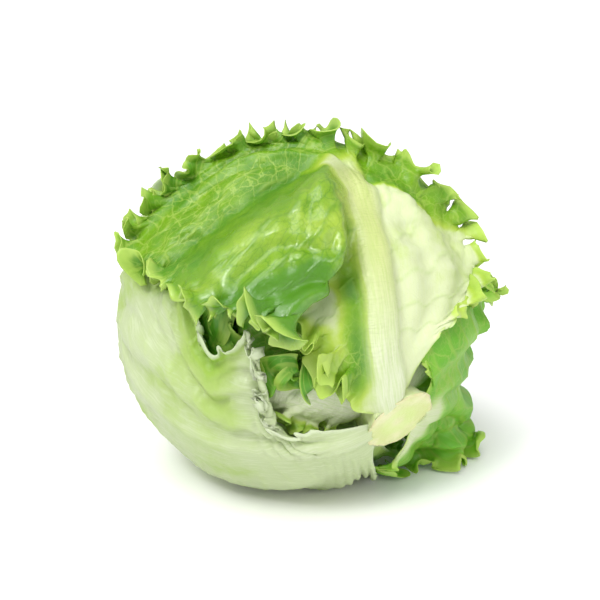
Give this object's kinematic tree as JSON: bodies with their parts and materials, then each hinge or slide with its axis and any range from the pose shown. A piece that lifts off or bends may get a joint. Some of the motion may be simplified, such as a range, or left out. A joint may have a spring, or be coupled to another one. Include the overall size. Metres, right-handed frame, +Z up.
{
  "type": "head of lettuce",
  "caption": "Frilly-edged head of lettuce lying on its side, with a slanted cut stem, wrapped pale leaves and ruffled green edges.",
  "frame": {"origin": "on the surface the head rests on, under the middle of its bounding box", "axes": "+Z up, away from the surface; +X towards the side that the stem's cut end leans to; -Y towards the side with the stem"},
  "size_m": [0.203, 0.2128, 0.1911],
  "materials": {
    "green_leaf": "fresh green leaf blade, waxy, slightly translucent, paler towards its rib",
    "pale_leaf": "pale whitish-green wrapper leaf, satin",
    "stem": "cut stem, moist and fibrous, browning at its rim",
    "heart": "packed pale inner leaves"
  },
  "bodies": {
    "root": {"heart": "heart", "stem": "stem", "leaf_crown": "green_leaf", "leaf_cradle": "pale_leaf", "leaf_skirt": "green_leaf", "leaf_back": "pale_leaf", "leaf_shoulder": "pale_leaf", "leaf_inner": "green_leaf", "leaf_window": "green_leaf"}
  },
  "joints": []
}
